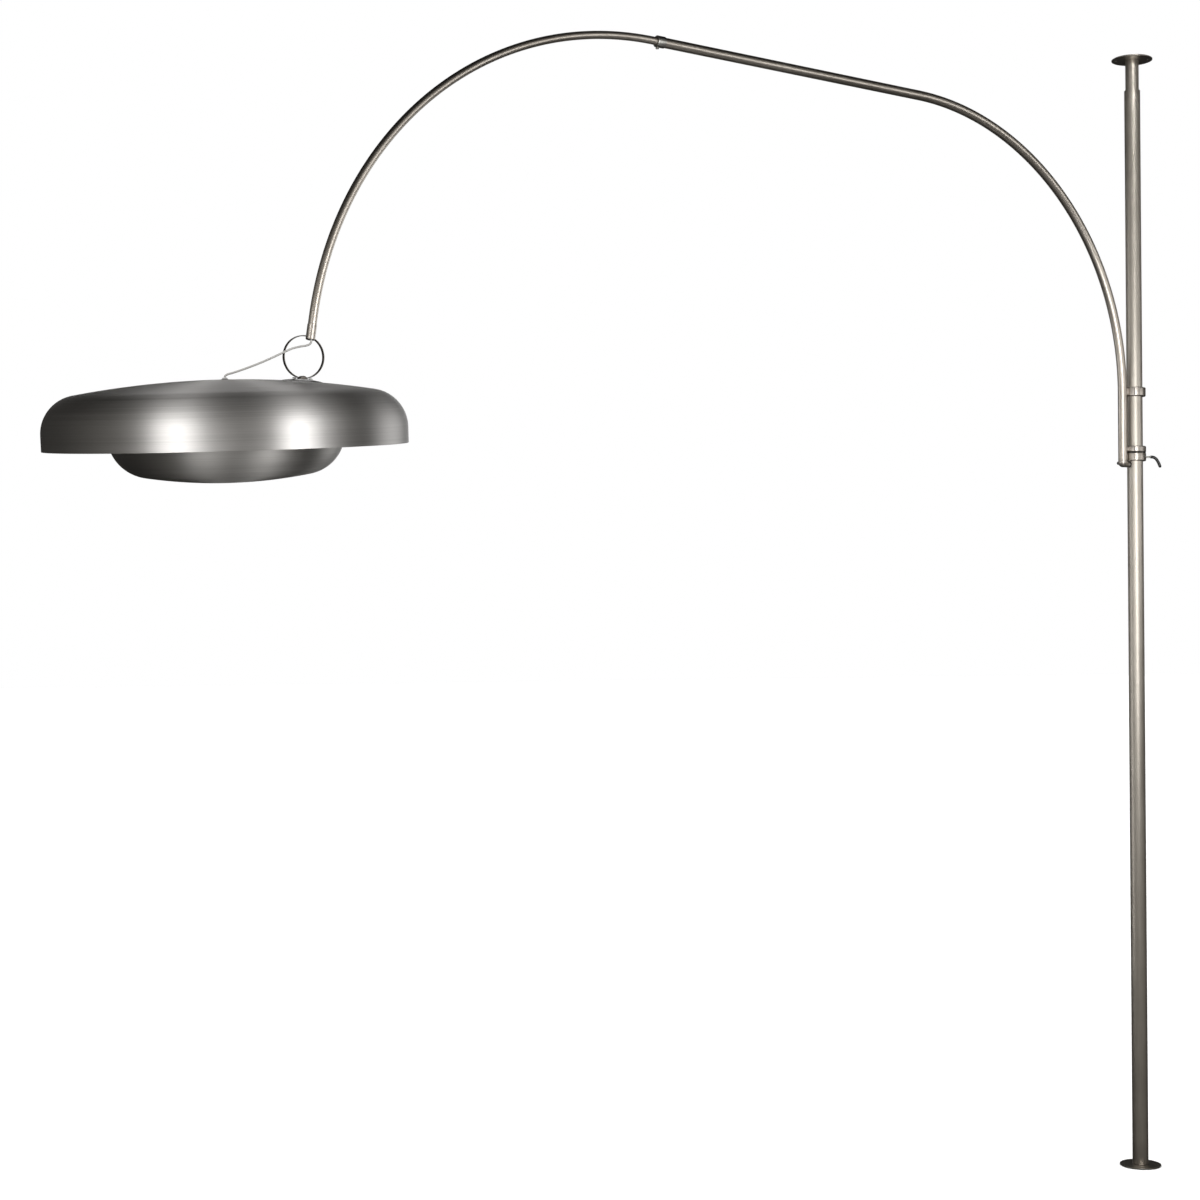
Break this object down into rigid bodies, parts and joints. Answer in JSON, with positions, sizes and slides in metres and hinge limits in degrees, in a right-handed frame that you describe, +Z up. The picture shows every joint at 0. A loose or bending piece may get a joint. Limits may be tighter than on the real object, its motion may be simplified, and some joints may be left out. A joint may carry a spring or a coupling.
{
  "type": "floor-to-ceiling arc lamp",
  "caption": "Arc lamp on a sprung floor-to-ceiling pole; a bent telescopic arm swivels on it and carries a wide spun metal shade hung from a ring.",
  "frame": {"origin": "centre of the underside of the floor pad, on the pole's axis", "axes": "+Z up along the pole, -X from the pole towards the shade along the arm's plane, +Y completes the frame"},
  "size_m": [2.7184, 0.6879, 2.7],
  "materials": {
    "satin_steel": "satin nickel-plated steel tube",
    "brushed_aluminium": "spun and brushed aluminium, clear lacquered",
    "zinc_steel": "zinc-plated steel",
    "brass": "plain turned brass",
    "black_plastic": "moulded black plastic",
    "nylon": "moulded dark nylon",
    "rubber": "matt black rubber",
    "porcelain": "glazed porcelain",
    "opal_glass": "opal glass",
    "white_flex": "smooth pale plastic sheath"
  },
  "bodies": {
    "pole": {"floor_pad": "rubber", "floor_disc": "satin_steel", "lower_pole_tube": "satin_steel", "pole_guide_bush": "nylon", "spring_seat": "zinc_steel", "pole_spring": "zinc_steel"},
    "upper_pole": {"spring_follower": "zinc_steel", "upper_pole_tube": "satin_steel", "ceiling_disc": "satin_steel", "ceiling_pad": "rubber"},
    "height_clamp": {"clamp_collar": "satin_steel", "clamp_pad": "brass", "thrust_washer": "nylon"},
    "clamp_lever": {"lever_stud": "zinc_steel", "lever_grip": "black_plastic"},
    "arm": {"rear_arm_tube": "satin_steel", "lower_guide_collar": "satin_steel", "lower_collar_liner": "nylon", "upper_guide_collar": "satin_steel", "upper_collar_liner": "nylon", "arm_foot": "satin_steel", "foot_pad": "nylon", "mains_outlet_grommet": "rubber", "rear_inner_flex": "white_flex", "coupling_collar": "zinc_steel"},
    "coupling_screw": {"coupling_screw": "zinc_steel"},
    "front_arm": {"front_arm_tube": "satin_steel", "tail_guide": "nylon", "front_inner_flex": "white_flex"},
    "tip": {"tip_head": "satin_steel", "ring_grub_screw": "zinc_steel", "tip_retaining_screw": "zinc_steel", "tip_flex": "white_flex"},
    "shade": {"hanging_ring": "satin_steel", "ring_base": "satin_steel", "backing_plate": "zinc_steel", "base_screw_1": "zinc_steel", "base_nut_1": "zinc_steel", "base_screw_2": "zinc_steel", "base_nut_2": "zinc_steel", "shade_dome": "brushed_aluminium", "inner_bowl": "brushed_aluminium", "centre_nipple": "zinc_steel", "flex_grommet": "white_flex", "under_crown_nut": "zinc_steel", "terminal_cup": "zinc_steel", "terminal_block": "porcelain", "lamp_carrier": "zinc_steel", "carrier_nut": "zinc_steel", "bowl_boss": "zinc_steel", "bowl_lock_nut": "zinc_steel", "lampholder_1": "porcelain", "lampholder_2": "porcelain", "lampholder_3": "porcelain", "bulb_1": "opal_glass", "bulb_2": "opal_glass", "bulb_3": "opal_glass", "shade_flex": "white_flex"}
  },
  "joints": [
    {"name": "pole_spring_slide", "type": "slide", "parent": "pole", "child": "upper_pole", "axis": [0, 0, 1], "range_m": [-0.06, 0.12], "stiffness_N_per_m": 1500, "springref_m": 0.005, "deforming": ["pole_spring"]},
    {"name": "height_slide", "type": "slide", "parent": "pole", "child": "height_clamp", "axis": [0, 0, 1], "range_m": [-1.2, 0.12]},
    {"name": "lever_turn", "type": "hinge", "parent": "height_clamp", "child": "clamp_lever", "pos_m": [0, 0, 1.72125], "axis": [0.8191, -0.5736, 0], "range_deg": [0, 180]},
    {"name": "arm_swing", "type": "hinge", "parent": "height_clamp", "child": "arm", "pos_m": [0, 0, 1.8], "axis": [0, 0, 1], "range_deg": [-180, 115]},
    {"name": "coupling_screw_turn", "type": "hinge", "parent": "arm", "child": "coupling_screw", "pos_m": [-1.36961, 0, 2.53771], "axis": [-0.0349, 0, -0.9994], "range_deg": [0, 360]},
    {"name": "arm_extend", "type": "slide", "parent": "arm", "child": "front_arm", "axis": [-0.9994, 0, 0.0349], "range_m": [0, 0.28]},
    {"name": "tip_turn", "type": "hinge", "parent": "front_arm", "child": "tip", "pos_m": [-2.16066, 0, 1.86219], "axis": [0.1374, 0, 0.9905], "range_deg": [-90, 90]},
    {"name": "shade_tilt", "type": "hinge", "parent": "tip", "child": "shade", "pos_m": [-2.17365, 0.00366, 1.82348], "axis": [0, 0.9956, 0.0941], "range_deg": [-20, 20]}
  ]
}
